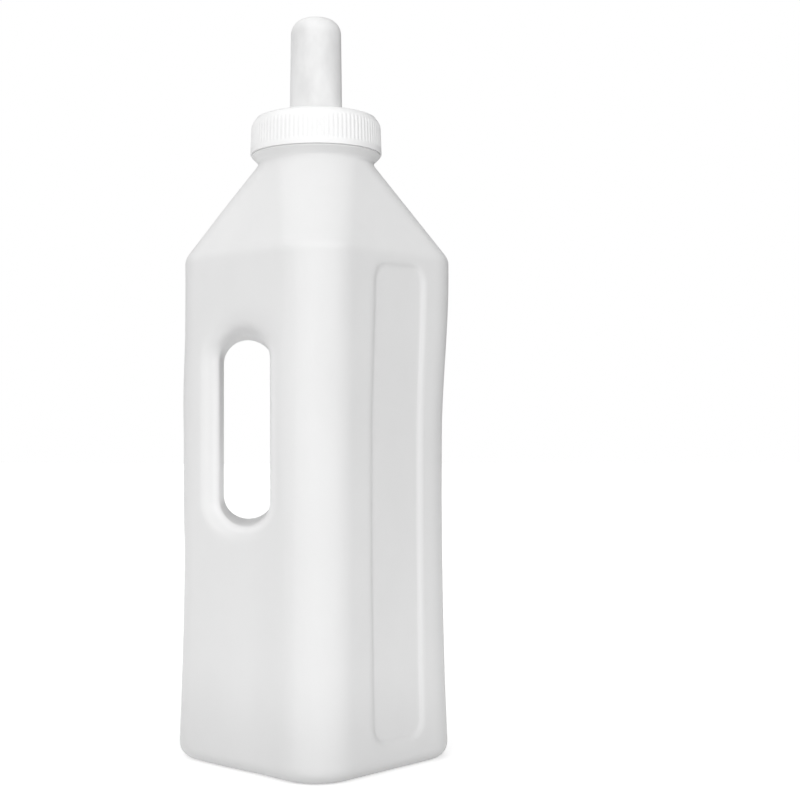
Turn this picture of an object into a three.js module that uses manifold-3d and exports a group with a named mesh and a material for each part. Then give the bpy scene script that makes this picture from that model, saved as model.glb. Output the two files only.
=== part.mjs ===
// A two-litre calf feeding bottle: a square blow-moulded bottle with a handle through one corner,
// a ribbed screw cap, and a soft teat whose flange the cap clamps on the bottle's rim.
// Millimetres, +Z up. The origin is the middle of the base, on the surface the bottle stands on.
// The bottle's corners lie on the X and Y axes, with the handle in the corner at -X.
import * as THREE from 'three';
import { ParametricGeometry } from 'three/addons/geometries/ParametricGeometry.js';
import { mergeVertices } from 'three/addons/utils/BufferGeometryUtils.js';
import Module from 'manifold-3d';

const wasm = await Module();
wasm.setup();

// Driving dimensions
const HALF_SIDE_BASE = 50.0; // centre to flat face, just above the base
const HALF_SIDE_WAIST = 47.9;
const HALF_SIDE_SHOULDER = 50.1;
const FLARE_TOP = 130; // the base flare ends and the waist begins
const WAIST_TOP = 147; // the waist ends and the sides lean out again
const LEAN_TOP = 222;
const CORNER_R = 22; // the bottle's upright corners
const WALL = 1.8;
const BASE_R = 7.5; // rounding between the base and the sides
const PUSH_UP = 4; // how far the middle of the base is raised
const PUSH_UP_HALF = [25, 31]; // half side of the raised middle, at its top and at its foot
const SHOULDER_Z = 231; // the sides turn into the shoulder
const SHOULDER_R = 9;
const NECK_FOOT_Z = 275;
const NECK_FOOT_R = 26.6;
const BEAD_Z = [275.6, 279.7]; // the ring just below the cap, with a slanted underside
const BEAD_R = 30.0;
const BEAD_RIM = 0.7; // height of its upright edge
const NECK_R = 25.6; // under the thread
const NECK_BORE_R = 22.4;
const RIM_Z = 292.6;

const GRIP_X = [-44.0, -20.2]; // the finger hole, across
const GRIP_Z = [108.8, 195.0]; // and up
const GRIP_BEVEL = 3.6; // how far the bevel of a square edge reaches; slanted edges get more or less
const GRIP_BEVEL_TILT = 0.15; // how much flatter than halfway the bevel lies at the handle
const GRIP_SOFT = 1.2; // softening of the bevel's two edges
const GRIP_EASE = 0.15; // share of the bevel that the softening takes at each edge
const GRIP_TOOL_PAST = 12; // how far the hole's tool reaches out past the faces
const HANDLE_BULGE = 2.3; // how far the handle's corner stands out past the others
const HANDLE_ARCH = 0.7; // and how much further beside the finger hole
const ARCH_RISE = [92, 116]; // heights between which that swells
const ARCH_FALL = [164, 200]; // and fades again
const HANDLE_TUCK = 0.9; // how far it is drawn in under the shoulder
const HANDLE_TOP = 152; // the handle's corner starts to lean in
const TUCK_TOP = 262;

const PANEL_WIDTH = 31.8;
const PANEL_OFFSET = 2.8; // from the middle of the face, away from the handle
const PANEL_Z = [14.0, 225.3];
const PANEL_R = 7.5;
const PANEL_DEPTH = 1.2;

const CAP_Z = 280.0; // lower edge of the skirt
const CAP_TOP_Z = 297.2;
const CAP_R = 30.6; // at the lower edge
const CAP_TAPER = 0.6; // how much slimmer the skirt is at the top
const CAP_BORE_R = 27.6;
const CAP_PLATE = 2.2;
const CAP_TOP_R = 5.6; // rounding of the top edge
const CAP_SEAT_R = 2.6; // rounding inside it, where the teat's flange sits
const CAP_BAND = 2.2; // plain stretch below the ribs
const RIB_COUNT = 90;
const RIB_DEPTH = 0.35;

const THREAD_PITCH = 5;
const THREAD_HEIGHT = 1.4;
const THREAD_ROOT = 2.3; // width of the ridge where it stands on the wall
const THREAD_CREST = 1.1;
const NECK_THREAD_Z = 283.4; // height of the neck's ridge at angle 0
const NECK_THREAD_TURNS = 1.5;
const CAP_THREAD_DROP = 2.1; // the cap's ridge runs this far below the neck's
const CAP_THREAD_TURNS = 1.25;
const CAP_THREAD_START = 0.18; // in turns

const FLANGE_R = 25.6;
const FLANGE_THICKNESS = 2.0;
const TEAT_TOP_Z = 343.2;
const TEAT_R = 12.2; // at the cap
const TEAT_TIP_R = 11.6; // just under the dome
const TEAT_DOME_R = 7.2;
const TEAT_BORE_R = 8.0;
const TEAT_TIP_WALL = 4.0;
const MILK_HOLE_R = 1.2;
const SEAL_GAP = 0.2; // between the flange and what presses on it
const CAP_HOLE_GAP = 0.3; // round the teat's stem

// Resolution
const OUTER_COLUMNS = 56; // round the bottle
const INNER_COLUMNS = 40;
const ROUND = 40; // round the cap's bore and the teat
const THREAD_STEPS = 30; // along each turn of a thread
const CORNER_CROWDING = 0.35; // how strongly the bottle's columns gather at its corners

// Maths shared by the shapes
const clamp01 = (t) => Math.min(1, Math.max(0, t));
// Eases from 0 to 1 as a value goes through a range.
const rise = (value, [from, to]) => THREE.MathUtils.smoothstep(value, from, to);
const lerp = THREE.MathUtils.lerp;
const at = (x, z) => new THREE.Vector2(x, z);

// Points on a circular arc, from one angle to another in degrees, for a lathe's profile.
function arc(x, z, radius, from, to, steps) {
  return Array.from({ length: steps + 1 }, (_, i) => {
    const a = THREE.MathUtils.degToRad(lerp(from, to, i / steps));
    return at(x + radius * Math.cos(a), z + radius * Math.sin(a));
  });
}

// Solids

function toSolid(geometry) {
  const bare = new THREE.BufferGeometry();
  bare.setAttribute('position', geometry.getAttribute('position').clone());
  if (geometry.index) bare.setIndex(geometry.index.clone());
  const merged = mergeVertices(bare, 1e-4);
  return new wasm.Manifold(new wasm.Mesh({
    numProp: 3,
    vertProperties: merged.getAttribute('position').array,
    triVerts: new Uint32Array(merged.index.array),
  }));
}

function toMesh(name, solid, material) {
  const { numProp, numVert, vertProperties, triVerts } = solid.getMesh();
  const position = new Float32Array(numVert * 3);
  for (let i = 0; i < numVert; i++) {
    position.set(vertProperties.subarray(i * numProp, i * numProp + 3), i * 3);
  }
  const geometry = new THREE.BufferGeometry();
  geometry.setAttribute('position', new THREE.BufferAttribute(position, 3));
  geometry.setIndex(new THREE.BufferAttribute(triVerts, 1));
  geometry.computeVertexNormals();
  const mesh = new THREE.Mesh(geometry, material);
  mesh.name = name;
  return mesh;
}

// Moves every vertex of a geometry by a function of its place.
function reshape(geometry, move) {
  const position = geometry.getAttribute('position');
  const v = new THREE.Vector3();
  for (let i = 0; i < position.count; i++) {
    v.fromBufferAttribute(position, i);
    move(v);
    position.setXYZ(i, v.x, v.y, v.z);
  }
  return geometry;
}

// A solid of revolution about Z. The profile runs from the bottom up, with its solid on the inside.
function turned(profile, segments = ROUND) {
  return new THREE.LatheGeometry(profile, segments).rotateX(Math.PI / 2);
}

// The bottle's outer form

function halfSide(z) {
  const flare = clamp01((FLARE_TOP - z) / FLARE_TOP) ** 2;
  const lean = rise(z, [WAIST_TOP, LEAN_TOP]);
  return HALF_SIDE_WAIST
    + (HALF_SIDE_BASE - HALF_SIDE_WAIST) * flare
    + (HALF_SIDE_SHOULDER - HALF_SIDE_WAIST) * lean;
}

// How far the surface is moved towards -X at a height and a direction from the axis. The corner that
// holds the handle stands out past the others, and is drawn in below the shoulder.
function handleBulge(z, angle) {
  const out = 1 - rise(z, [HANDLE_TOP, LEAN_TOP]);
  const fade = 1 - rise(z, [LEAN_TOP, TUCK_TOP]);
  const arch = rise(z, ARCH_RISE) * (1 - rise(z, ARCH_FALL));
  const share = rise(-Math.cos(angle), [0.5, 1]);
  return (HANDLE_BULGE * out + HANDLE_ARCH * arch - HANDLE_TUCK * (1 - out) * fade) * share;
}

// Distance from the axis to a square with round corners, in a direction measured from a corner.
function roundedSquare(angle, half, cornerR) {
  const quarter = Math.PI / 2;
  const fromFace = Math.abs((((angle % quarter) + quarter) % quarter) - quarter / 2);
  const straight = half - cornerR;
  if (half * Math.tan(fromFace) <= straight) return half / Math.cos(fromFace);
  const centre = straight * Math.SQRT2;
  const off = quarter / 2 - fromFace;
  return centre * Math.cos(off) + Math.sqrt(cornerR ** 2 - (centre * Math.sin(off)) ** 2);
}

// The corner radius at a height: it grows into a full circle up the shoulder.
function cornerRadius(z, half, inset) {
  if (z >= NECK_FOOT_Z) return half;
  const up = clamp01((z - SHOULDER_Z) / (NECK_FOOT_Z - SHOULDER_Z));
  const full = lerp(CORNER_R, NECK_FOOT_R, up) - inset;
  return Math.min(full, half);
}

// Lathe a profile of half sides and push its circles out to rounded squares. inset is how far the
// surface lies inside the bottle's outer one.
function squareTurned(profile, inset, columns) {
  return reshape(turned(profile, columns), (v) => {
    const half = Math.hypot(v.x, v.y);
    if (half < 1e-6) return;
    const even = Math.atan2(v.y, v.x);
    const angle = even - (CORNER_CROWDING / 4) * Math.sin(4 * even);
    const radius = roundedSquare(angle, half, cornerRadius(v.z, half, inset));
    v.x = radius * Math.cos(angle) - handleBulge(v.z, angle);
    v.y = radius * Math.sin(angle);
  });
}

const SIDE_ROWS = [32, 60, 90, 108, 128, 147, 166, 184, 202, 218];

// Profile from the middle of the base to the foot of the neck, inset from the outer surface.
function bodyProfile(inset) {
  const half = (z) => halfSide(z) - inset;
  const floor = inset;
  const shoulderSlope = Math.atan2(NECK_FOOT_Z - SHOULDER_Z, HALF_SIDE_SHOULDER - NECK_FOOT_R);
  const turn = THREE.MathUtils.radToDeg(Math.PI / 2 - shoulderSlope);
  const bendR = SHOULDER_R - inset;
  const bendX = HALF_SIDE_SHOULDER - SHOULDER_R;
  const bendZ = SHOULDER_Z - SHOULDER_R * Math.tan(THREE.MathUtils.degToRad(turn / 2));
  const footX = NECK_FOOT_R - inset / Math.sin(shoulderSlope);
  return [
    at(0, PUSH_UP + floor),
    at(PUSH_UP_HALF[0], PUSH_UP + floor),
    at(PUSH_UP_HALF[1], floor),
    ...arc(half(BASE_R) - BASE_R + inset, BASE_R, BASE_R - inset, -90, 0, 4),
    ...SIDE_ROWS.map((z) => at(half(z), z)),
    ...arc(bendX, bendZ, bendR, 0, turn, 3),
    at(footX, NECK_FOOT_Z),
  ];
}

function outerForm() {
  return toSolid(squareTurned([
    ...bodyProfile(0),
    at(NECK_FOOT_R, BEAD_Z[0]),
    at(BEAD_R, BEAD_Z[1] - BEAD_RIM),
    at(BEAD_R, BEAD_Z[1]),
    at(NECK_R, BEAD_Z[1]),
    ...arc(NECK_R - 0.8, RIM_Z - 0.8, 0.8, 0, 90, 2),
    at(0, RIM_Z),
  ], 0, OUTER_COLUMNS));
}

function innerForm() {
  return toSolid(squareTurned([
    ...bodyProfile(WALL),
    at(NECK_BORE_R, NECK_FOOT_Z + 3),
    at(NECK_BORE_R, RIM_Z + 5),
    at(0, RIM_Z + 5),
  ], WALL, INNER_COLUMNS));
}

// The outline of the finger hole seen along Y: place and outward direction at u from 0 to 1.
function gripOutline(u) {
  const radius = (GRIP_X[1] - GRIP_X[0]) / 2;
  const middle = (GRIP_X[0] + GRIP_X[1]) / 2;
  const low = GRIP_Z[0] + radius;
  const high = GRIP_Z[1] - radius;
  // Half of u goes round the two ends, and the other half up and down the straight sides.
  const quarter = (u * 4) % 1;
  const stage = Math.floor(u * 4) % 4;
  const sweep = [quarter * Math.PI, Math.PI, Math.PI + quarter * Math.PI, 2 * Math.PI][stage];
  const z = [high, lerp(high, low, quarter), low, lerp(low, high, quarter)][stage];
  return {
    x: middle + radius * Math.cos(sweep),
    z: z + radius * Math.sin(sweep),
    nx: Math.cos(sweep),
    nz: Math.sin(sweep),
  };
}

// The tool that cuts the finger hole. Its mouths flare into a bevel between the hole's wall and the
// face, with softened edges. inset is the wall that the tool leaves round the hole when it is cut from
// the inner form.
function gripTool(inset) {
  const face = new THREE.Vector3(-Math.SQRT1_2, -Math.SQRT1_2, 0);
  const middle = new THREE.Vector3((GRIP_X[0] + GRIP_X[1]) / 2, -100, (GRIP_Z[0] + GRIP_Z[1]) / 2);
  const rows = 11;
  return toSolid(new ParametricGeometry((u, v, target) => {
    const row = Math.round(v * rows);
    const back = row > rows / 2;
    const k = back ? rows - row : row; // 0 is the middle of the end face, 5 the foot of the bevel
    if (k === 0) {
      target.copy(middle);
    } else {
      const p = gripOutline(1 - u);
      const wall = new THREE.Vector3(-p.nx, 0, -p.nz);
      const tilt = 1 + GRIP_BEVEL_TILT * p.nx;
      const reach = GRIP_BEVEL * (1 - p.nx * Math.SQRT1_2);
      const bevel = wall.clone().multiplyScalar(tilt).add(face).normalize();
      const onFace = (far) => {
        const x = p.x + far * p.nx;
        const z = p.z + far * p.nz;
        const flat = Math.SQRT2 * halfSide(z) + x;
        return new THREE.Vector3(x, -flat - handleBulge(z, Math.atan2(flat, x)), z)
          .addScaledVector(face.clone().add(bevel), -inset / (1 + face.dot(bevel)));
      };
      const onWall = (far) => {
        const flat = Math.SQRT2 * halfSide(p.z) + p.x;
        const depth = flat + handleBulge(p.z, Math.atan2(flat, p.x)) - Math.SQRT2 * far;
        return new THREE.Vector3(p.x, -depth, p.z)
          .addScaledVector(wall.clone().add(bevel), -inset / (1 + wall.dot(bevel)));
      };
      if (k <= 2) target.copy(onFace(reach / tilt + GRIP_SOFT));
      if (k === 1) target.addScaledVector(face, GRIP_TOOL_PAST);
      if (k === 3) target.copy(onFace(reach / tilt)).lerp(onWall(reach), GRIP_EASE);
      if (k === 4) target.copy(onFace(reach / tilt)).lerp(onWall(reach), 1 - GRIP_EASE);
      if (k === 5) target.copy(onWall(reach + GRIP_SOFT));
    }
    if (back) target.y = -target.y;
  }, 36, rows));
}

// A shallow upright panel with round corners, set into the face that looks along +X and side * Y.
// The panel is larger by grow all round on the inside of the wall.
function panelTool(side, floorForm, grow) {
  const half = PANEL_WIDTH / 2 + grow;
  const low = PANEL_Z[0] - grow;
  const high = PANEL_Z[1] + grow;
  const r = PANEL_R + grow;
  const outline = new THREE.Shape();
  outline.moveTo(half, low + r);
  outline.lineTo(half, high - r);
  outline.absarc(half - r, high - r, r, 0, Math.PI / 2);
  outline.lineTo(r - half, high);
  outline.absarc(r - half, high - r, r, Math.PI / 2, Math.PI);
  outline.lineTo(-half, low + r);
  outline.absarc(r - half, low + r, r, Math.PI, 1.5 * Math.PI);
  outline.lineTo(half - r, low);
  outline.absarc(half - r, low + r, r, 1.5 * Math.PI, 2 * Math.PI);
  const block = new THREE.ExtrudeGeometry(outline, { depth: 30, bevelEnabled: false, curveSegments: 4 })
    .translate(-side * PANEL_OFFSET, 0, HALF_SIDE_WAIST - 10)
    .rotateX(Math.PI / 2)
    .rotateZ(side > 0 ? 0.75 * Math.PI : 0.25 * Math.PI);
  return toSolid(block).subtract(floorForm);
}

// A screw thread's ridge: a straight bar bent round the axis. It stands on the wall at wallR and
// reaches crestR, rises a pitch each turn, and fades out at both ends.
function threadRidge(wallR, crestR, z0, fromTurn, turns) {
  const steps = Math.round(turns * THREAD_STEPS);
  const embed = Math.sign(wallR - crestR) * 0.4;
  const fade = 0.06; // of a turn
  const bar = new THREE.BoxGeometry(turns, 1, 1, steps, 1, 1);
  return toSolid(reshape(bar, (v) => {
    const along = v.x + turns / 2;
    const ends = clamp01(Math.min(along, turns - along) / fade);
    const crest = v.y > 0;
    const outward = crestR > wallR;
    const atCrest = crest === outward;
    const r = atCrest ? lerp(wallR + embed / 2, crestR, 0.1 + 0.9 * ends) : wallR + embed;
    const width = atCrest ? THREAD_CREST : THREAD_ROOT;
    const turn = fromTurn + along;
    const angle = turn * 2 * Math.PI;
    v.set(r * Math.cos(angle), r * Math.sin(angle), z0 + THREAD_PITCH * turn - v.z * width);
  }));
}

// The bottle's outside, or the space inside it, with both panels and the finger hole cut out of it.
function withCuts(form, inset, columns) {
  const depth = inset + PANEL_DEPTH;
  const floorForm = toSolid(squareTurned([...bodyProfile(depth), at(0, NECK_FOOT_Z)], depth, columns));
  return form
    .subtract(panelTool(1, floorForm, inset))
    .subtract(panelTool(-1, floorForm, inset))
    .subtract(gripTool(inset));
}

function bottle(material) {
  const outside = withCuts(outerForm(), 0, OUTER_COLUMNS)
    .add(threadRidge(NECK_R, NECK_R + THREAD_HEIGHT, NECK_THREAD_Z, 0, NECK_THREAD_TURNS));
  const inside = withCuts(innerForm(), WALL, INNER_COLUMNS);
  return toMesh('bottle', outside.subtract(inside), material);
}

// The cap's skirt and top, still solid. Every other column of its vertices is a groove between ribs.
function ribbedForm() {
  const columns = 2 * RIB_COUNT;
  const ribTop = CAP_TOP_Z - CAP_TOP_R;
  const form = turned([
    at(0, CAP_Z),
    at(CAP_R, CAP_Z),
    at(CAP_R, CAP_Z + CAP_BAND),
    at(CAP_R, CAP_Z + CAP_BAND + 0.5),
    ...arc(CAP_R - CAP_TOP_R, ribTop, CAP_TOP_R, 0, 90, 3),
    at(0, CAP_TOP_Z),
  ], columns);
  return toSolid(reshape(form, (v) => {
    const column = Math.round((Math.atan2(v.y, v.x) / (2 * Math.PI)) * columns);
    const ribbed = v.z > CAP_Z + CAP_BAND + 0.3 && v.z < ribTop + 0.5 * CAP_TOP_R;
    const groove = ribbed && column % 2 ? RIB_DEPTH : 0;
    const taper = CAP_TAPER * ((v.z - CAP_Z) / (CAP_TOP_Z - CAP_Z));
    const narrower = 1 - (groove + taper) / CAP_R;
    v.x *= narrower;
    v.y *= narrower;
  }));
}

// The cap: a ribbed skirt with the female thread, and a top plate with a hole for the teat.
function screwCap(material) {
  const plateZ = CAP_TOP_Z - CAP_PLATE;
  const hollow = toSolid(turned([
    at(0, CAP_Z - 2),
    at(CAP_BORE_R + 0.6, CAP_Z - 2),
    at(CAP_BORE_R + 0.6, CAP_Z),
    at(CAP_BORE_R, CAP_Z + 0.6),
    ...arc(CAP_BORE_R - CAP_SEAT_R, plateZ - CAP_SEAT_R, CAP_SEAT_R, 0, 90, 3),
    at(TEAT_R + CAP_HOLE_GAP, plateZ),
    at(TEAT_R + CAP_HOLE_GAP, CAP_TOP_Z + 2),
    at(0, CAP_TOP_Z + 2),
  ]));
  const ridge = threadRidge(
    CAP_BORE_R,
    CAP_BORE_R - THREAD_HEIGHT,
    NECK_THREAD_Z - CAP_THREAD_DROP,
    CAP_THREAD_START,
    CAP_THREAD_TURNS,
  );
  return toMesh('screw_cap', ribbedForm().subtract(hollow).add(ridge), material);
}

// The teat: a flange, a hollow stem and a domed tip with the milk hole, all one moulding.
function teat(material) {
  const under = RIM_Z + SEAL_GAP;
  const over = under + FLANGE_THICKNESS;
  const domeZ = TEAT_TOP_Z - TEAT_DOME_R;
  const boreTop = TEAT_TOP_Z - TEAT_TIP_WALL;
  return toMesh('teat', toSolid(turned([
    at(TEAT_BORE_R + 1.5, under),
    ...arc(FLANGE_R - 0.6, under + 0.6, 0.6, -90, 0, 2),
    ...arc(FLANGE_R - 0.6, over - 0.6, 0.6, 0, 90, 2),
    at(TEAT_R, over),
    at(TEAT_R, CAP_TOP_Z + 1),
    at(TEAT_TIP_R, domeZ - 2),
    ...arc(TEAT_TIP_R - TEAT_DOME_R, domeZ, TEAT_DOME_R, 0, 90, 8),
    at(MILK_HOLE_R, TEAT_TOP_Z - 0.3),
    at(MILK_HOLE_R, boreTop),
    ...arc(TEAT_BORE_R - 5.5, boreTop - 5, 5, 90, 0, 4),
    at(TEAT_BORE_R, over + 2),
    at(TEAT_BORE_R + 1.5, under),
  ])), material);
}

const bottlePlastic = new THREE.MeshStandardMaterial({ color: 0xe9e9e9, roughness: 0.42, metalness: 0 });
const capPlastic = new THREE.MeshStandardMaterial({ color: 0xf6f6f6, roughness: 0.38, metalness: 0 });
const silicone = new THREE.MeshStandardMaterial({ color: 0xe4e4e4, roughness: 0.3, metalness: 0 });

const calfBottle = new THREE.Group();
calfBottle.add(bottle(bottlePlastic), screwCap(capPlastic), teat(silicone));

export default calfBottle;
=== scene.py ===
# Looks for the calf feeding bottle. Lengths are in millimetres until a mesh is made, and the frame is the
# CAD's: the origin is the middle of the base, +Z is up, and the handle is in the bottle's corner at -X.
import math

import bmesh
import bpy
import numpy as np
from mathutils import Matrix, Vector


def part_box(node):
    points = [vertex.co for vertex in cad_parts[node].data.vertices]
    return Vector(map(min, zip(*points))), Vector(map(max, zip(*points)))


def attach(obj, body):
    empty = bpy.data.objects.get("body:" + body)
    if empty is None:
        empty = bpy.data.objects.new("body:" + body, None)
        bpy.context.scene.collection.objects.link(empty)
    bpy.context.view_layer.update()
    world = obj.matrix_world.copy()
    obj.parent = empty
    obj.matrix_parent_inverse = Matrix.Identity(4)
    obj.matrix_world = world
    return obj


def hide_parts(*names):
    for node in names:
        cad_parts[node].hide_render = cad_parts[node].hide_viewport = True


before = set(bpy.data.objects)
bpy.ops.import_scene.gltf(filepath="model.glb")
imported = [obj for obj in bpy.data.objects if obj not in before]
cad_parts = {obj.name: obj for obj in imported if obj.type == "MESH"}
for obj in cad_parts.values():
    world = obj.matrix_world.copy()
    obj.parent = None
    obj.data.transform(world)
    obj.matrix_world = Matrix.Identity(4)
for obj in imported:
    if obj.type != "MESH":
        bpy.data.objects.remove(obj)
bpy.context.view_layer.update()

MM = 0.001

# What the frame says
RIM_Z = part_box("bottle")[1][2] / MM
CAP_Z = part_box("screw_cap")[0][2] / MM
CAP_TOP_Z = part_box("screw_cap")[1][2] / MM
CAP_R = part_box("screw_cap")[1][0] / MM
FLANGE_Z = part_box("teat")[0][2] / MM
FLANGE_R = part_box("teat")[1][0] / MM
TEAT_TOP_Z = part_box("teat")[1][2] / MM

# Bottle
HALF_SIDE_BASE = 50.0  # centre to flat face, at the base
HALF_SIDE_WAIST = 47.9
HALF_SIDE_SHOULDER = 50.1
FLARE_TOP = 130  # the base flare ends here
WAIST_TOP = 147  # the sides lean out again from here
LEAN_TOP = 222
CORNER_R = 22  # the bottle's upright corners
WALL = 1.8
BASE_R = 7.5  # rounding between the base and the sides
PUSH_UP = 4  # how far the middle of the base is raised
PUSH_UP_HALF = 31
PUSH_UP_R = 12
PUSH_UP_EDGE = 6  # width of the soft step up to it
SHOULDER_Z = 231  # the sides turn into the shoulder
SHOULDER_BLEND = 1.3
NECK_FOOT_Z = 275
NECK_FOOT_R = 26.6
NECK_FOOT_BLEND = 1.0
BEAD_Z = (275.6, 279.7)  # the ring just below the cap, with a slanted underside
BEAD_R = 30.0
BEAD_RIM = 0.7  # height of its upright edge
BEAD_SOFT = 0.15
BEAD_BLEND = 1.0
NECK_R = 25.6
NECK_BLEND = 0.4
RIM_R = 0.8  # rounding of the rim
NECK_BORE_R = 22.4
BORE_BLEND = 1.0  # rounding between the bore and the inside of the body
BORE_FLARE_DEPTH = 0.6  # the bore widens this far below the rim
BORE_FLARE_SLOPE = 0.8
GRIP_X = (-44.0, -20.2)
GRIP_Z = (108.8, 195.0)
GRIP_BEVEL = 3.6  # reach of the bevel round the finger hole
GRIP_BEVEL_TILT = 0.15  # how much flatter than halfway it lies at the handle
GRIP_SOFT = 2.5  # rounding of the bevel's two edges
GRIP_SOFT_TOP = 6.3  # the same at the top, where the bevel is all rounding
HANDLE_BULGE = 2.3  # how far the handle's corner stands out past the others
HANDLE_ARCH = 0.7  # and how much further beside the finger hole
ARCH_RISE = (92, 116)  # heights between which that swells
ARCH_FALL = (164, 200)  # and fades again
HANDLE_TUCK = 0.9  # how far it is drawn in under the shoulder
HANDLE_SPREAD = (0.5, 1)  # cosines of the angle from its corner, where the bulge starts and is complete
HANDLE_TOP = 152  # the handle's corner starts to lean in
TUCK_TOP = 262
PANEL_HALF_WIDTH = 15.9
PANEL_OFFSET = 2.8  # from the middle of the face, away from the handle
PANEL_Z = (14.0, 225.3)
PANEL_R = 7.5
PANEL_DEPTH = 1.2
PANEL_EDGE = 2.6  # width of the soft step round the panel
PANEL_FACE = 30  # faces further than this from the axis, away from the handle, carry the panels

# Threads
THREAD_PITCH = 5
THREAD_HEIGHT = 1.4
THREAD_ROOT = 2.3  # width of the ridge where it stands on the wall
THREAD_CREST = 1.1
THREAD_FADE = 0.06  # length of its soft ends, in turns
NECK_THREAD_Z = 283.4  # height of the ridge at angle 0
NECK_THREAD_TURNS = 1.5
CAP_THREAD_Z = 281.3
CAP_THREAD_START = 0.18  # in turns
CAP_THREAD_TURNS = 1.25

# Cap
CAP_LIP_Z = BEAD_Z[1] + 0.05  # lower edge of the skirt, closer to the bead than the CAD's
CAP_TAPER = 0.6  # how much slimmer the skirt is at the top
CAP_BORE_R = 27.6
CAP_PLATE = 2.2
CAP_TOP_R = 5.6  # rounding of the top edge
CAP_SEAT_R = 2.6  # rounding inside it, where the teat's flange sits
CAP_BAND = 2.2  # plain stretch below the ribs
CAP_LIP_SOFT = (0.25, 0.5)  # rounding of the skirt's lower edge, outside and inside
CAP_HOLE_SOFT = (0.5, 0.3)  # rounding of the hole's upper and lower edge
RIB_COUNT = 90
RIB_DEPTH = 0.35
RIB_SHARPNESS = 1.5  # above 1, the ribs are wider than the grooves between them
RIB_TOP_Z = CAP_TOP_Z - CAP_TOP_R + 3.2  # the grooves run out part of the way round the top edge
RIB_FADE = (0.7, 2.6)  # the height over which they run out at the foot, and at the top
RIB_REACH = 1.8  # they are only cut where the cap is within this of its full radius
TAPER_MARGIN = 0.3  # the taper leaves alone what is no further out from the bore than this
BORE_MARGIN = 0.05  # and the thread stands on what is this close to the bore's radius

# Teat
FLANGE_THICKNESS = 2.0
FLANGE_SOFT = 0.6
TEAT_R = 12.2  # at the cap
TEAT_FOOT_R = 0.15  # rounding between the flange and the stem
TEAT_BEND_Z = CAP_TOP_Z + 1  # the stem starts to taper here
TEAT_BEND_R = 6
TEAT_TIP_R = 11.6  # just under the dome
TEAT_DOME_R = 7.2
TEAT_BORE_R = 8.0
TEAT_BORE_TOP_R = 4.5
TEAT_BORE_FOOT_R = 1.0
TEAT_TIP_WALL = 4.0
MILK_HOLE_R = 1.2
MILK_HOLE_SOFT = 0.3
DIMPLE_R = MILK_HOLE_R + 1.6  # the shallow dimple that the milk hole sits in
DIMPLE_DEPTH = 0.8
DIMPLE_SOFT = 0.6
CAP_HOLE_R = TEAT_R + 0.3

# The grid for the bottle's surfaces: columns round it, rows up it, and levels out from the axis, as shares
# of the way to the sides. Rows and levels are in bands of (from, to, step).
OUTER_COLUMNS = 224
OUTER_ROWS = (
    (-1, 12, 1.0), (12, 22, 1.3), (22, 100, 3.0), (100, 126, 1.4), (126, 178, 3.0),
    (178, 206, 1.4), (206, 222, 2.0), (222, 238, 1.2), (238, 268, 2.4), (268, 278.2, 0.6),
    (278.2, 280.2, 0.2), (280.2, RIM_Z + 1.4, 0.4),
)
INNER_COLUMNS = 128
INNER_ROWS = ((0, 24, 2), (24, 100, 5), (100, 210, 2.5), (210, 262, 4), (262, RIM_Z + 5, 1.0))
LEVELS = ((0.02, 0.30, 0.07), (0.30, 1.18, 0.02))  # past the sides, to take in the handle and the bead
FACE_SHARE = 0.62  # share of the columns that is on the flat faces
EVEN_Z = (SHOULDER_Z + 2, SHOULDER_Z + 32)  # between these heights the columns become evenly spaced
BODY_OVERLAP = 0.5  # how far the body reaches up into the bead
BEAD_OVERLAP = 2  # the bead down into the body
BORE_OVERLAP = 4  # the bore down into the inside of the body
RIM_OVERLAP = 3  # and the inside up past the rim
SHARP_ANGLE = 45  # degrees; steeper edges aren't shaded smooth

# Resolution of the turned pieces
CAP_COLUMNS = RIB_COUNT * 6
CAP_STEP = 0.6  # the longest step along the cap's profile
TEAT_COLUMNS = 128
TEAT_STEP = 0.8
TEAT_ARC_STEPS = 10

# Materials. Greys and roughness vary between two limits, and scattering is a share and a reach.
NOISE_MIDDLE = (0.3, 0.7)  # where most of a noise's values lie
PLASTIC_GREY = (0.80, 0.84)
PLASTIC_ROUGHNESS = (0.36, 0.46)
PLASTIC_SCATTER = (0.3, 4)
CAP_GREY = (0.90, 0.92)
CAP_ROUGHNESS = (0.32, 0.42)
CAP_SCATTER = (0.15, 2)
SILICONE_GREY = (0.77, 0.90)
SILICONE_ROUGHNESS = (0.29, 0.33)
SILICONE_SCATTER = (0.8, 7)
FLOOR_GREY = (0.97, 0.99)
FLOOR_ROUGHNESS = 0.9
HOLE_LIGHT_GREY = 0.97  # painted light: the finger hole's walls get this lighter grey, standing in for light that comes through the thin walls
HOLE_REACH = 4  # how far from the walls that painted light reaches
FOOT_HEIGHT = 50  # painted shade: the plastic's colour is darkened below this height, standing in for shade near the floor
FOOT_SHADE_SHARE = 0.87

# Camera
CAMERA_DISTANCE = 665
CAMERA_HEIGHT = 151
CAMERA_LENS = 64.1
CAMERA_SHIFT = (0.105, 0.0396)

# Light
BRIGHT_SIDE = (-0.34, -0.68, 0.65)  # the way to the bright part of the surround
SURROUND_EDGE = (-0.7, 0.40)  # cosines of the angle from it, where the surround is dim and bright
SURROUND_LIGHT = (0.42, 0.95)  # and its strength there
DARK_SIDE = (0.8, 0.6, 0.0)  # the way to its darkest part
DARK_EDGE = (0.1, 0.8)  # cosines of the angle from that, where the darkening starts and is complete
DARK_SHARE = 0.3  # how much of the light is left there
FLOOR_HALF = 6  # metres
FLOOR_GLOW = 0.35
KEY_PLACE = (-0.22, -1.5, 0.35)  # metres
KEY_SIZE = 0.25  # metres
KEY_POWER = 1.2
SUN_SIDE = (0.45, -0.75, 0.48)  # the way to the sun
SUN_STRENGTH = 0.70
SUN_SPREAD = 60  # degrees across


# Small maths


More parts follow.
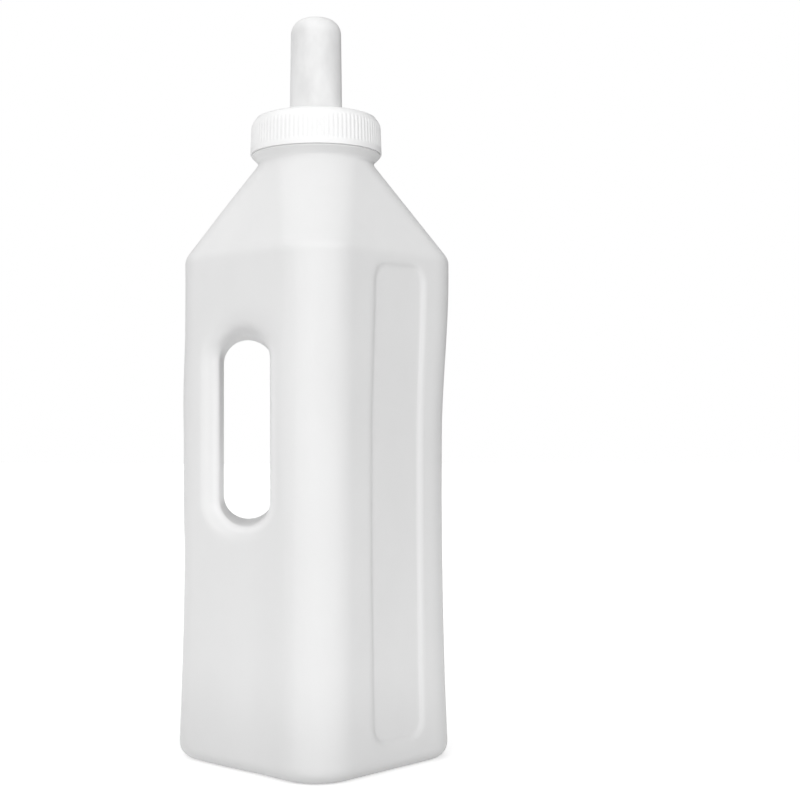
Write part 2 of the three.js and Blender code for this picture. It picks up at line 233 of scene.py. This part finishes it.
def smooth(t):
    t = np.clip(t, 0, 1)
    return t * t * (3 - 2 * t)


def rise(value, ends):
    """Eases from 0 to 1 as a value goes from one end of a stretch to the other."""
    return smooth((value - ends[0]) / (ends[1] - ends[0]))


def soft_min(a, b, blend):
    near = np.maximum(blend - np.abs(a - b), 0) / blend
    return np.minimum(a, b) - near * near * blend / 4


def soft_max(a, b, blend):
    return -soft_min(-a, -b, blend)


def round_cut(a, b, radius):
    """The space inside both a and b, with its edge rounded."""
    both = np.hypot(np.maximum(radius + a, 0), np.maximum(radius + b, 0))
    return np.minimum(np.maximum(a, b), -radius) + both


def rounded_box(u, v, half_u, half_v, corner):
    """Distance from a rectangle with round corners."""
    du = np.abs(u) - half_u + corner
    dv = np.abs(v) - half_v + corner
    outside = np.hypot(np.maximum(du, 0), np.maximum(dv, 0))
    return outside + np.minimum(np.maximum(du, dv), 0) - corner


def thread(angle, z, z0, start, turns):
    """How far a thread's ridge stands out, from 0 to 1, at an angle and a height."""
    turn = np.mod(angle / (2 * math.pi), 1)
    ridge = np.zeros(np.broadcast(angle, z).shape)
    for lap in range(3):
        along = turn + lap
        off = np.abs(z - z0 - THREAD_PITCH * along)
        flank = (THREAD_ROOT / 2 - off) / ((THREAD_ROOT - THREAD_CREST) / 2)
        ends = np.minimum(along - start, start + turns - along) / THREAD_FADE
        ridge = np.maximum(ridge, smooth(flank) * smooth(ends))
    return ridge


# The bottle's form, as fields that are negative inside it


def half_side(z):
    """Distance from the axis to the flat faces at a height, shoulder included."""
    flare = np.clip((FLARE_TOP - z) / FLARE_TOP, 0, 1) ** 2
    lean = rise(z, (WAIST_TOP, LEAN_TOP))
    sides = (
        HALF_SIDE_WAIST
        + (HALF_SIDE_BASE - HALF_SIDE_WAIST) * flare
        + (HALF_SIDE_SHOULDER - HALF_SIDE_WAIST) * lean
    )
    fall = (HALF_SIDE_SHOULDER - NECK_FOOT_R) / (NECK_FOOT_Z - SHOULDER_Z)
    shoulder = HALF_SIDE_SHOULDER - (z - SHOULDER_Z) * fall
    return soft_max(soft_min(sides, shoulder, SHOULDER_BLEND), NECK_FOOT_R, NECK_FOOT_BLEND)


def corner_radius(z, half):
    """The corners' rounding grows up the shoulder, into a full circle at the neck."""
    up = np.clip((z - SHOULDER_Z) / (NECK_FOOT_Z - SHOULDER_Z), 0, 1)
    return np.minimum(CORNER_R + (NECK_FOOT_R - CORNER_R) * up, half)


def handle_bulge(x, y, z):
    """How far the corner with the handle stands out past the others. It is drawn in below the shoulder."""
    toward_handle = -x / np.maximum(np.hypot(x, y), 1)
    out = rise(z, (LEAN_TOP, HANDLE_TOP))
    fade = rise(z, (TUCK_TOP, LEAN_TOP))
    arch = rise(z, ARCH_RISE) * (1 - rise(z, ARCH_FALL))
    bulge = HANDLE_BULGE * out + HANDLE_ARCH * arch - HANDLE_TUCK * (1 - out) * fade
    return bulge * rise(toward_handle, HANDLE_SPREAD)


def panel_recess(x, y, z):
    """Depth of the shallow upright panels in the two faces away from the handle."""
    outward = (x + np.abs(y)) / math.sqrt(2)
    across = (x - np.abs(y)) / math.sqrt(2) - PANEL_OFFSET
    middle = (PANEL_Z[0] + PANEL_Z[1]) / 2
    half_height = (PANEL_Z[1] - PANEL_Z[0]) / 2
    edge = rounded_box(across, z - middle, PANEL_HALF_WIDTH, half_height, PANEL_R)
    return PANEL_DEPTH * smooth(0.5 - edge / PANEL_EDGE) * (outward > PANEL_FACE)


def side_walls(x, y, z):
    half = half_side(z)
    slope = half_side(z + 0.5) - half_side(z - 0.5)
    x = x + handle_bulge(x, y, z)
    u = (x - y) / math.sqrt(2)
    v = (x + y) / math.sqrt(2)
    return rounded_box(u, v, half, half, corner_radius(z, half)) / np.sqrt(1 + slope**2)


def under_side(x, y, z):
    u = (x - y) / math.sqrt(2)
    v = (x + y) / math.sqrt(2)
    ring = rounded_box(u, v, PUSH_UP_HALF, PUSH_UP_HALF, PUSH_UP_R)
    return PUSH_UP * smooth(-ring / PUSH_UP_EDGE) - z


def grip_hole(x, z):
    """Distance from the finger hole, and that way's shares towards the bottle's middle and upward."""
    radius = (GRIP_X[1] - GRIP_X[0]) / 2
    dx = x - (GRIP_X[0] + GRIP_X[1]) / 2
    dz = z - np.clip(z, GRIP_Z[0] + radius, GRIP_Z[1] - radius)
    away = np.maximum(np.hypot(dx, dz), 0.01)
    return away - radius, dx / away, np.maximum(dz / away, 0)


def body_form(x, y, z, inset):
    """The bottle below its neck, or the space inside it if inset is the wall."""
    walls = side_walls(x, y, z) + panel_recess(x, y, z) + inset
    form = round_cut(walls, under_side(x, y, z) + inset, BASE_R - inset)
    hole, inward, upward = grip_hole(x, z)
    wall = inset - hole
    tilt = 1 + GRIP_BEVEL_TILT * inward
    reach = GRIP_BEVEL * (1 - inward / math.sqrt(2))
    steepness = np.sqrt(1 + tilt**2 + math.sqrt(2) * tilt * inward)
    bevel = (form + tilt * wall + reach + inset * (steepness - 1 - tilt)) / steepness
    soft = GRIP_SOFT + (GRIP_SOFT_TOP - GRIP_SOFT) * upward**2
    return round_cut(round_cut(form, bevel, soft), wall, soft)


def outer_form(x, y, z):
    """The body, the bead and the threaded neck, joined with soft creases."""
    radius = np.hypot(x, y)
    body = np.maximum(body_form(x, y, z, 0), z - BEAD_Z[0] - BODY_OVERLAP)
    rim_foot = BEAD_Z[1] - BEAD_RIM
    slant = (BEAD_R - NECK_FOOT_R) / (rim_foot - BEAD_Z[0])
    bead_side = (radius - BEAD_R + slant * np.maximum(rim_foot - z, 0)) / math.hypot(1, slant)
    bead = round_cut(bead_side, z - BEAD_Z[1], BEAD_SOFT)
    bead = np.maximum(bead, BEAD_Z[0] - BEAD_OVERLAP - z)
    ridge = thread(np.arctan2(y, x), z, NECK_THREAD_Z, 0, NECK_THREAD_TURNS)
    neck = round_cut(radius - NECK_R - THREAD_HEIGHT * ridge, z - RIM_Z, RIM_R)
    neck = np.maximum(neck, SHOULDER_Z - z)
    return soft_min(soft_min(body, bead, BEAD_BLEND), neck, NECK_BLEND)


def cavity(x, y, z):
    """The space inside, open past the rim."""
    flare = np.maximum(z - RIM_Z + BORE_FLARE_DEPTH, 0) * BORE_FLARE_SLOPE
    bore = np.hypot(x, y) - NECK_BORE_R - flare
    bore = np.maximum(bore, NECK_FOOT_Z - BORE_OVERLAP - z)
    body = np.maximum(body_form(x, y, z, WALL), z - NECK_FOOT_Z)
    return np.maximum(soft_min(body, bore, BORE_BLEND), z - RIM_Z - RIM_OVERLAP)


# From a field to a mesh. The grid's columns follow the bottle's faces and corners, so the quads do too.


def outline_reach(angle, half, corner):
    """Distance from the axis to the square with round corners, in each direction."""
    quarter = math.pi / 2
    from_face = np.abs(np.mod(angle, quarter) - quarter / 2)
    straight = half - corner
    off = quarter / 2 - from_face
    centre = straight * math.sqrt(2)
    bend = np.sqrt(np.maximum(corner**2 - (centre * np.sin(off)) ** 2, 0))
    on_face = half * np.tan(from_face) <= straight
    return np.where(on_face, half / np.cos(from_face), centre * np.cos(off) + bend)


def column_angles(count, z, half, corner):
    """Directions of the columns at each height: evenly spaced along the faces, and round the neck."""
    step = np.arange(count)[:, None] * 8 / count
    quadrant = np.floor(step / 2)
    place = step - 2 * quadrant - 1  # from -1 to 1 across a face, corner to corner
    straight = half - corner
    bend = np.clip((np.abs(place) - FACE_SHARE) / (1 - FACE_SHARE), 0, 1) * math.pi / 4
    along = np.minimum(np.abs(place) / FACE_SHARE, 1) * straight + corner * np.sin(bend)
    outward = straight + corner * np.cos(bend)
    square = np.arctan2(along, outward) * np.sign(place)
    even = place * math.pi / 4
    turn = square + (even - square) * rise(z, EVEN_Z)
    return turn + (quadrant + 0.5) * math.pi / 2


def grid_points(columns, rows, levels):
    """Points of shape (columns, levels, rows, 3)."""
    half = half_side(rows)
    corner = corner_radius(rows, half)
    angle = column_angles(columns, rows, half, corner)
    reach = outline_reach(angle, half, corner)
    radius = reach[:, None, :] * levels[None, :, None]
    x = radius * np.cos(angle)[:, None, :]
    y = radius * np.sin(angle)[:, None, :]
    return np.stack([x, y, np.broadcast_to(rows, x.shape)], axis=-1)


def gradient(field, points, step=0.02):
    slopes = []
    for axis in range(3):
        shift = np.zeros(3)
        shift[axis] = step
        ahead = field(*(points + shift).T)
        behind = field(*(points - shift).T)
        slopes.append((ahead - behind) / (2 * step))
    return np.stack(slopes, axis=-1)


def pull_to_surface(field, points, rounds=4, least_slope=0.05, longest_move=0.6):
    """Newton's steps along the field's slope."""
    for _ in range(rounds):
        slope = gradient(field, points)
        size = np.maximum((slope**2).sum(axis=1), least_slope)
        move = -(field(*points.T) / size)[:, None] * slope
        points = points + np.clip(move, -longest_move, longest_move)
    return points


def crossings(values, points, axis):
    """The grid's edges along an axis that cross the surface, and the places where they do."""
    ahead = np.roll(values, -1, axis)
    crossing = (values < 0) != (ahead < 0)
    if axis > 0:
        np.moveaxis(crossing, axis, 0)[-1] = False
    start = values[crossing]
    cut = (start / (start - ahead[crossing]))[:, None]
    place = points[crossing] * (1 - cut) + np.roll(points, -1, axis)[crossing] * cut
    return np.argwhere(crossing), place


def cells_round(edge, axis, columns):
    """The four cells round each edge, in order."""
    side, other = [a for a in range(3) if a != axis]
    ring = []
    for back_side, back_other in ((0, 0), (1, 0), (1, 1), (0, 1)):
        cell = edge.copy()
        cell[:, side] -= back_side
        cell[:, other] -= back_other
        cell[:, 0] %= columns
        ring.append(cell)
    return np.stack(ring, axis=1)


def surface_net(field, columns, rows, levels):
    """Vertices and quads of the field's zero surface. The first axis of the grid closes on itself."""
    points = grid_points(columns, rows, levels)
    values = field(*np.moveaxis(points, -1, 0))
    shape = (columns, len(levels) - 1, len(rows) - 1)
    total = np.zeros(shape + (3,))
    share = np.zeros(shape)
    rings = []
    for axis in range(3):
        edge, place = crossings(values, points, axis)
        ring = cells_round(edge, axis, columns)
        inside = ((ring >= 0) & (ring < shape)).all(axis=(1, 2))
        ring = ring[inside]
        for corner in range(4):
            where = tuple(ring[:, corner].T)
            np.add.at(total, where, place[inside])
            np.add.at(share, where, 1)
        rings.append(ring)
    used = share > 0
    number = np.full(shape, -1)
    number[used] = np.arange(used.sum())
    vertices = pull_to_surface(field, total[used] / share[used][:, None])
    quads = np.concatenate([number[tuple(np.moveaxis(r, -1, 0))] for r in rings])
    return vertices, quads


def bands(parts):
    """Grid lines from bands of (from, to, step)."""
    lines = [np.arange(low, high, step) for low, high, step in parts]
    return np.concatenate(lines + [[parts[-1][1]]])


# From arrays to Blender objects


def new_object(name, mesh):
    piece = bpy.data.objects.new(name, mesh)
    bpy.context.scene.collection.objects.link(piece)
    return piece


def mesh_piece(name, vertices, quads):
    """A closed, smooth-shaded object from millimetre points. Small gaps left at the axis are filled."""
    mesh = bpy.data.meshes.new(name)
    mesh.from_pydata((np.asarray(vertices) * MM).tolist(), [], np.asarray(quads).tolist())
    shape = bmesh.new()
    shape.from_mesh(mesh)
    gaps = [edge for edge in shape.edges if edge.is_boundary]
    bmesh.ops.holes_fill(shape, edges=gaps, sides=0)
    bmesh.ops.recalc_face_normals(shape, faces=shape.faces)
    shape.to_mesh(mesh)
    shape.free()
    mesh.shade_smooth()
    return new_object(name, mesh)


def apply_modifiers(piece):
    evaluated = piece.evaluated_get(bpy.context.evaluated_depsgraph_get())
    finished = bpy.data.meshes.new_from_object(evaluated)
    piece.modifiers.clear()
    piece.data = finished


def make_bottle():
    """The outer form with the space inside cut out of it."""
    levels = bands(LEVELS)
    outside = mesh_piece(
        "bottle_shell", *surface_net(outer_form, OUTER_COLUMNS, bands(OUTER_ROWS), levels)
    )
    inside = mesh_piece("bottle_inside", *surface_net(cavity, INNER_COLUMNS, bands(INNER_ROWS), levels))
    hollow = outside.modifiers.new("hollow", "BOOLEAN")
    hollow.operation = "DIFFERENCE"
    hollow.solver = "MANIFOLD"
    hollow.object = inside
    apply_modifiers(outside)
    bpy.data.objects.remove(inside)
    outside.data.shade_smooth()
    outside.data.set_sharp_from_angle(angle=math.radians(SHARP_ANGLE))
    mark_hole_walls(outside)
    return outside


# Turned pieces


def rounded_profile(corners, step, arc_steps=6):
    """A closed profile of (radius, z) from corners of (radius, z, rounding), its sides cut into steps."""
    places = [Vector(corner[:2]) for corner in corners]
    points = []
    for i, here in enumerate(places):
        before = (places[i - 1] - here).normalized()
        after = (places[(i + 1) % len(places)] - here).normalized()
        half_turn = before.angle(after) / 2
        rounding = corners[i][2]
        trim = rounding / math.tan(half_turn)
        centre = here + (before + after).normalized() * (rounding / math.sin(half_turn))
        start = here + before * trim - centre
        end = here + after * trim - centre
        sweep = start.angle_signed(end) if rounding > 0 else 0
        for k in range(arc_steps + 1 if rounding > 0 else 1):
            spoke = start.copy()
            spoke.rotate(Matrix.Rotation(-sweep * k / arc_steps, 2))
            points.append(centre + spoke)
    filled = []
    for i, point in enumerate(points):
        follower = points[(i + 1) % len(points)]
        pieces = max(1, math.ceil((follower - point).length / step))
        filled += [point.lerp(follower, k / pieces) for k in range(pieces)]
    return np.array(filled)


def turn_profile(name, profile, columns, shape=None):
    """Sweeps a closed profile round the axis. shape may change the radius by angle and place."""
    angle = np.arange(columns)[:, None] * 2 * math.pi / columns
    radius = np.broadcast_to(profile[:, 0], (columns, len(profile)))
    z = np.broadcast_to(profile[:, 1], radius.shape)
    if shape:
        radius = shape(angle, radius, z)
    vertices = np.stack([radius * np.cos(angle), radius * np.sin(angle), z], axis=-1)
    number = np.arange(radius.size).reshape(radius.shape)
    across = np.roll(number, -1, axis=0)
    quads = np.stack(
        [number, across, np.roll(across, -1, axis=1), np.roll(number, -1, axis=1)], axis=-1
    )
    return mesh_piece(name, vertices.reshape(-1, 3), quads.reshape(-1, 4))


def cap_shape(angle, radius, z):
    """Ribs and taper on the skirt's outside, and the thread on its inside."""
    groove = RIB_DEPTH * ((1 - np.cos(RIB_COUNT * angle)) / 2) ** RIB_SHARPNESS
    foot = CAP_Z + CAP_BAND
    low = rise(z, (foot, foot + RIB_FADE[0]))
    high = rise(z, (RIB_TOP_Z, RIB_TOP_Z - RIB_FADE[1]))
    taper = CAP_TAPER * (z - CAP_Z) / (CAP_TOP_Z - CAP_Z)
    ridge = thread(angle, z, CAP_THREAD_Z, CAP_THREAD_START, CAP_THREAD_TURNS)
    shaped = radius - np.where(radius > CAP_R - RIB_REACH, groove * low * high, 0)
    shaped = shaped - np.where(radius > CAP_BORE_R + TAPER_MARGIN, taper, 0)
    on_bore = np.abs(radius - CAP_BORE_R) < BORE_MARGIN
    return shaped - np.where(on_bore, THREAD_HEIGHT * ridge, 0)


def make_cap():
    plate_z = CAP_TOP_Z - CAP_PLATE
    profile = rounded_profile([
        (CAP_R, CAP_LIP_Z, CAP_LIP_SOFT[0]),
        (CAP_R, CAP_TOP_Z, CAP_TOP_R),
        (CAP_HOLE_R, CAP_TOP_Z, CAP_HOLE_SOFT[0]),
        (CAP_HOLE_R, plate_z, CAP_HOLE_SOFT[1]),
        (CAP_BORE_R, plate_z, CAP_SEAT_R),
        (CAP_BORE_R, CAP_LIP_Z, CAP_LIP_SOFT[1]),
    ], CAP_STEP)
    return turn_profile("cap", profile, CAP_COLUMNS, cap_shape)


def make_teat():
    flange_top = FLANGE_Z + FLANGE_THICKNESS
    bore_top = TEAT_TOP_Z - TEAT_TIP_WALL
    profile = rounded_profile([
        (FLANGE_R, FLANGE_Z, FLANGE_SOFT),
        (FLANGE_R, flange_top, FLANGE_SOFT),
        (TEAT_R, flange_top, TEAT_FOOT_R),
        (TEAT_R, TEAT_BEND_Z, TEAT_BEND_R),
        (TEAT_TIP_R, TEAT_TOP_Z, TEAT_DOME_R),
        (DIMPLE_R, TEAT_TOP_Z, DIMPLE_SOFT),
        (MILK_HOLE_R, TEAT_TOP_Z - DIMPLE_DEPTH, MILK_HOLE_SOFT),
        (MILK_HOLE_R, bore_top, MILK_HOLE_SOFT),
        (TEAT_BORE_R, bore_top, TEAT_BORE_TOP_R),
        (TEAT_BORE_R, FLANGE_Z, TEAT_BORE_FOOT_R),
    ], TEAT_STEP, TEAT_ARC_STEPS)
    return turn_profile("teat_skin", profile, TEAT_COLUMNS)


# Materials


def node_material(name):
    material = bpy.data.materials.new(name)
    material.use_nodes = True
    nodes = material.node_tree.nodes
    return material, material.node_tree.links, nodes, nodes["Principled BSDF"]


def noise(nodes, links, scale, detail=2, stretch=(1, 1, 1)):
    place = nodes.new("ShaderNodeTexCoord")
    mapping = nodes.new("ShaderNodeMapping")
    mapping.inputs["Scale"].default_value = stretch
    texture = nodes.new("ShaderNodeTexNoise")
    texture.inputs["Scale"].default_value = scale
    texture.inputs["Detail"].default_value = detail
    links.new(place.outputs["Object"], mapping.inputs["Vector"])
    links.new(mapping.outputs["Vector"], texture.inputs["Vector"])
    return texture.outputs["Fac"]


def mapped(nodes, links, value, source, target, interpolation="LINEAR"):
    """Takes a value from one range to another, and no further than its ends."""
    spread = nodes.new("ShaderNodeMapRange")
    spread.interpolation_type = interpolation
    spread.inputs["From Min"].default_value = source[0]
    spread.inputs["From Max"].default_value = source[1]
    spread.inputs["To Min"].default_value = target[0]
    spread.inputs["To Max"].default_value = target[1]
    links.new(value, spread.inputs["Value"])
    return spread.outputs["Result"]


def from_noise(nodes, links, value, target):
    """Spreads the middle of a noise over a range."""
    return mapped(nodes, links, value, NOISE_MIDDLE, target)


def grey_mix(nodes, links, value, greys):
    """A grey between two, by a value from 0 to 1."""
    mix = nodes.new("ShaderNodeMix")
    mix.data_type = "RGBA"
    mix.inputs["A"].default_value = (greys[0], greys[0], greys[0], 1)
    mix.inputs["B"].default_value = (greys[1], greys[1], greys[1], 1)
    links.new(value, mix.inputs["Factor"])
    return mix.outputs["Result"]


def mottled(nodes, links, value, greys):
    return grey_mix(nodes, links, from_noise(nodes, links, value, (0, 1)), greys)


def bumped(nodes, links, height, distance, strength, before=None):
    bump = nodes.new("ShaderNodeBump")
    bump.inputs["Distance"].default_value = distance
    bump.inputs["Strength"].default_value = strength
    links.new(height, bump.inputs["Height"])
    if before:
        links.new(before, bump.inputs["Normal"])
    return bump.outputs["Normal"]


def scatter(shader, weight, reach):
    """Lets light go in and out of a milky plastic."""
    shader.inputs["Subsurface Weight"].default_value = weight
    shader.inputs["Subsurface Radius"].default_value = (1, 1, 1)
    shader.inputs["Subsurface Scale"].default_value = reach * MM


def mark_hole_walls(piece):
    """Stores how much each point of the bottle belongs to the finger hole's walls and floor, which get
    painted light.
    """
    x, _, z = np.array([vertex.co for vertex in piece.data.vertices]).T / MM
    hole, _, upward = grip_hole(x, z)
    share = smooth(1 - hole / HOLE_REACH) * (1 - upward)
    layer = piece.data.attributes.new("hole_wall", "FLOAT", "POINT")
    layer.data.foreach_set("value", share)


def painted_light_in_hole(nodes, links, tint):
    """Painted light: goes over from a tint to the hole's lighter grey, by the share that the bottle's
    points carry.
    """
    near_hole = nodes.new("ShaderNodeAttribute")
    near_hole.attribute_name = "hole_wall"
    glow = grey_mix(nodes, links, near_hole.outputs["Fac"], (HOLE_LIGHT_GREY, HOLE_LIGHT_GREY))
    links.new(tint, glow.node.inputs["A"])
    return glow


# Painted shade: darkens the colour towards the foot, standing in for the shade near the floor.
def painted_shade_at_foot(nodes, links, tint):
    place = nodes.new("ShaderNodeTexCoord")
    split = nodes.new("ShaderNodeSeparateXYZ")
    links.new(place.outputs["Object"], split.inputs["Vector"])
    height = split.outputs["Z"]
    share = mapped(nodes, links, height, (0, FOOT_HEIGHT * MM), (FOOT_SHADE_SHARE, 1), "SMOOTHSTEP")
    foot = nodes.new("ShaderNodeVectorMath")
    foot.operation = "SCALE"
    links.new(tint, foot.inputs[0])
    links.new(share, foot.inputs["Scale"])
    return foot.outputs["Vector"]


def bottle_plastic():
    """Natural white polyethylene: satin, softly mottled, with a faint orange-peel skin. Its colour carries
    painted light in the finger hole, standing in for light that comes through the thin walls, and painted
    shade, darker towards the foot."""
    material, links, nodes, shader = node_material("bottle_plastic")
    cloud = noise(nodes, links, scale=22, detail=3, stretch=(1, 1, 0.5))
    grain = noise(nodes, links, scale=900)
    peel = noise(nodes, links, scale=260)
    tint = painted_light_in_hole(nodes, links, mottled(nodes, links, cloud, PLASTIC_GREY))
    links.new(painted_shade_at_foot(nodes, links, tint), shader.inputs["Base Color"])
    links.new(from_noise(nodes, links, grain, PLASTIC_ROUGHNESS), shader.inputs["Roughness"])
    normal = bumped(nodes, links, peel, distance=0.12 * MM, strength=0.25)
    normal = bumped(nodes, links, grain, distance=0.03 * MM, strength=0.3, before=normal)
    links.new(normal, shader.inputs["Normal"])
    scatter(shader, *PLASTIC_SCATTER)
    return material


def cap_plastic():
    """Brighter injection-moulded polyethylene, finely grained."""
    material, links, nodes, shader = node_material("cap_plastic")
    cloud = noise(nodes, links, scale=60)
    grain = noise(nodes, links, scale=1400)
    links.new(mottled(nodes, links, cloud, CAP_GREY), shader.inputs["Base Color"])
    links.new(from_noise(nodes, links, grain, CAP_ROUGHNESS), shader.inputs["Roughness"])
    normal = bumped(nodes, links, grain, distance=0.02 * MM, strength=0.3)
    links.new(normal, shader.inputs["Normal"])
    scatter(shader, *CAP_SCATTER)
    return material


def silicone():
    """Milky silicone: smooth, with soft clouds in it that are drawn out upwards."""
    material, links, nodes, shader = node_material("silicone")
    clouds = noise(nodes, links, scale=110, detail=3, stretch=(1, 1, 0.5))
    grain = noise(nodes, links, scale=320)
    links.new(mottled(nodes, links, clouds, SILICONE_GREY), shader.inputs["Base Color"])
    links.new(from_noise(nodes, links, grain, SILICONE_ROUGHNESS), shader.inputs["Roughness"])
    normal = bumped(nodes, links, grain, distance=0.02 * MM, strength=0.15)
    links.new(normal, shader.inputs["Normal"])
    scatter(shader, *SILICONE_SCATTER)
    return material


def floor_material():
    material, links, nodes, shader = node_material("studio_floor")
    paper = noise(nodes, links, scale=40)
    links.new(mottled(nodes, links, paper, FLOOR_GREY), shader.inputs["Base Color"])
    shader.inputs["Roughness"].default_value = FLOOR_ROUGHNESS
    shader.inputs["Emission Color"].default_value = (1, 1, 1, 1)
    shader.inputs["Emission Strength"].default_value = FLOOR_GLOW
    return material


# Studio


def make_floor():
    """A white floor. It throws no light back, so it doesn't lighten the bottle's foot; the darkening
    towards the foot is also painted shade in the bottle's colour.
    """
    mesh = bpy.data.meshes.new("studio_floor")
    corners = [(FLOOR_HALF * x, FLOOR_HALF * y, 0) for x, y in ((-1, -1), (1, -1), (1, 1), (-1, 1))]
    mesh.from_pydata(corners, [], [(0, 1, 2, 3)])
    floor = new_object("studio_floor", mesh)
    mesh.materials.append(floor_material())
    floor.visible_diffuse = False


def make_key():
    """A soft box in front, a little to the left, for the shine along the front corner."""
    light = bpy.data.lights.new("key", "AREA")
    light.size = KEY_SIZE
    light.energy = KEY_POWER
    lamp = new_object("key", light)
    lamp.location = KEY_PLACE
    aim = Vector((0, 0, TEAT_TOP_Z * MM / 2)) - Vector(KEY_PLACE)
    lamp.rotation_euler = aim.to_track_quat("-Z", "Y").to_euler()


def make_sun():
    """A very wide light from the front right and above, which lights the whole floor alike."""
    light = bpy.data.lights.new("sky_light", "SUN")
    light.energy = SUN_STRENGTH
    light.angle = math.radians(SUN_SPREAD)
    lamp = new_object("sky_light", light)
    lamp.rotation_euler = (-Vector(SUN_SIDE)).to_track_quat("-Z", "Y").to_euler()


def side_share(nodes, links, side, edge, share):
    """A value that eases from one share to the other as a direction turns towards a side."""
    direction = nodes.new("ShaderNodeTexCoord")
    toward = nodes.new("ShaderNodeVectorMath")
    toward.operation = "DOT_PRODUCT"
    toward.inputs[1].default_value = side
    links.new(direction.outputs["Generated"], toward.inputs[0])
    return mapped(nodes, links, toward.outputs["Value"], edge, share, "SMOOTHSTEP")


def make_world():
    """A surround that the camera sees as plain white. It lights the bottle unevenly: most from the bright
    side, and least from the dark one."""
    world = bpy.data.worlds.new("studio")
    world.use_nodes = True
    nodes = world.node_tree.nodes
    links = world.node_tree.links
    total = nodes.new("ShaderNodeMath")
    total.operation = "MULTIPLY"
    links.new(side_share(nodes, links, BRIGHT_SIDE, SURROUND_EDGE, SURROUND_LIGHT), total.inputs[0])
    links.new(side_share(nodes, links, DARK_SIDE, DARK_EDGE, (1, DARK_SHARE)), total.inputs[1])
    seen = nodes.new("ShaderNodeLightPath")
    strength = nodes.new("ShaderNodeMapRange")
    strength.inputs["To Max"].default_value = 1.0
    links.new(seen.outputs["Is Camera Ray"], strength.inputs["Value"])
    links.new(total.outputs["Value"], strength.inputs["To Min"])
    sky = nodes["Background"]
    sky.inputs["Color"].default_value = (1, 1, 1, 1)
    links.new(strength.outputs["Result"], sky.inputs["Strength"])
    bpy.context.scene.world = world


def make_camera():
    """Level, and shifted to place the bottle in the picture."""
    camera = bpy.data.cameras.new("camera")
    camera.lens = CAMERA_LENS
    camera.shift_x, camera.shift_y = CAMERA_SHIFT
    eye = new_object("camera", camera)
    eye.location = (0, -CAMERA_DISTANCE * MM, CAMERA_HEIGHT * MM)
    eye.rotation_euler = (math.pi / 2, 0, 0)
    bpy.context.scene.camera = eye


def finish_piece(piece, material, body, node):
    """Gives a piece its look, the body it moves with and the CAD node it stands in for."""
    piece.data.materials.clear()
    piece.data.materials.append(material)
    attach(piece, body)
    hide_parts(node)


make_camera()
make_world()
make_floor()
make_key()
make_sun()
bpy.context.scene.view_settings.view_transform = "Standard"

finish_piece(make_bottle(), bottle_plastic(), "body", "bottle")
finish_piece(make_cap(), cap_plastic(), "cap_body", "screw_cap")
finish_piece(make_teat(), silicone(), "teat_body", "teat")
